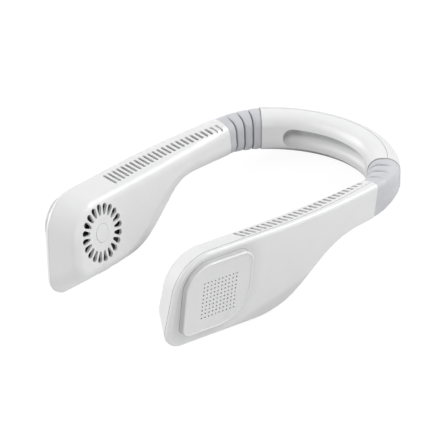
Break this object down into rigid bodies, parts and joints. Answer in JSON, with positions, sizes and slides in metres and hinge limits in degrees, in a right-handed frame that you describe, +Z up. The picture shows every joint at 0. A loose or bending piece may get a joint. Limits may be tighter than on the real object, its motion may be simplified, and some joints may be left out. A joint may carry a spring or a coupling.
{
  "type": "electric neck fan",
  "caption": "Bladeless neck fan: a curved neck bar with two hinged arms ending in blower heads, grey flexible sleeves and a row of air slots along each arm.",
  "frame": {"origin": "centre of the footprint, on the table the fan lies on", "axes": "+Z up from the table, -Y the way the blower heads point, +X the wearer's left; metres"},
  "size_m": [0.1466, 0.2318, 0.0741],
  "materials": {
    "white_shell": "satin",
    "white_pad": "satin",
    "grey_sleeve": "matte",
    "duct_plastic": "matte",
    "dark_plastic": "matte",
    "hinge_plastic": "matte",
    "steel": "satin",
    "motor_metal": "satin",
    "winding": "satin",
    "bronze": "satin",
    "magnet": "matte",
    "cell_foil": "satin",
    "board_green": "matte",
    "clear_pipe": "polished",
    "lead_rubber": "matte"
  },
  "bodies": {
    "neck": {"neck_inner_shell": "white_shell", "neck_outer_cover": "white_shell", "neck_lead": "lead_rubber", "left_neck_hinge": "hinge_plastic", "right_neck_hinge": "hinge_plastic"},
    "left_arm": {"left_inner_shell": "white_shell", "left_outer_cover": "white_shell", "left_intake_pad": "white_pad", "left_grille_cap": "white_pad", "left_air_duct": "duct_plastic", "left_motor_base": "motor_metal", "left_stator": "winding", "left_bearing": "bronze", "left_case_screws": "steel", "left_battery": "cell_foil", "left_arm_hinge": "hinge_plastic", "left_hinge_pin": "steel", "left_sleeve": "grey_sleeve", "left_sleeve_lead": "lead_rubber"},
    "right_arm": {"right_inner_shell": "white_shell", "right_outer_cover": "white_shell", "right_intake_pad": "white_pad", "right_grille_cap": "white_pad", "right_air_duct": "duct_plastic", "right_motor_base": "motor_metal", "right_stator": "winding", "right_bearing": "bronze", "right_case_screws": "steel", "right_battery": "cell_foil", "right_arm_hinge": "hinge_plastic", "right_hinge_pin": "steel", "right_sleeve": "grey_sleeve", "right_sleeve_lead": "lead_rubber", "control_board": "board_green", "push_switch": "dark_plastic", "usb_socket": "steel", "light_pipe": "clear_pipe"},
    "left_rotor": {"left_impeller": "dark_plastic", "left_rotor_cup": "steel", "left_magnet_ring": "magnet", "left_shaft": "steel"},
    "right_rotor": {"right_impeller": "dark_plastic", "right_rotor_cup": "steel", "right_magnet_ring": "magnet", "right_shaft": "steel"},
    "power_button": {"power_button": "white_pad"}
  },
  "joints": [
    {"name": "left_arm_spread", "type": "hinge", "parent": "neck", "child": "left_arm", "pos_m": [0.0614, 0.06837, 0.0225], "axis": [0, 0.2702, 0.9628], "range_deg": [-8, 25], "deforming": ["left_sleeve", "left_sleeve_lead"]},
    {"name": "right_arm_spread", "type": "hinge", "parent": "neck", "child": "right_arm", "pos_m": [-0.0614, 0.06837, 0.0225], "axis": [0, -0.2702, -0.9628], "range_deg": [-8, 25], "deforming": ["right_sleeve", "right_sleeve_lead"]},
    {"name": "left_fan_spin", "type": "hinge", "parent": "left_arm", "child": "left_rotor", "pos_m": [0.0533, -0.07757, 0.04554], "axis": [0.983, -0.1554, -0.0974], "continuous": true},
    {"name": "right_fan_spin", "type": "hinge", "parent": "right_arm", "child": "right_rotor", "pos_m": [-0.0533, -0.07757, 0.04554], "axis": [-0.983, -0.1554, -0.0974], "continuous": true},
    {"name": "button_press", "type": "slide", "parent": "right_arm", "child": "power_button", "axis": [-0.1347, 0.2514, 0.9585], "range_m": [0, 0.0005], "stiffness_N_per_m": 1500, "springref_m": -0.001}
  ]
}
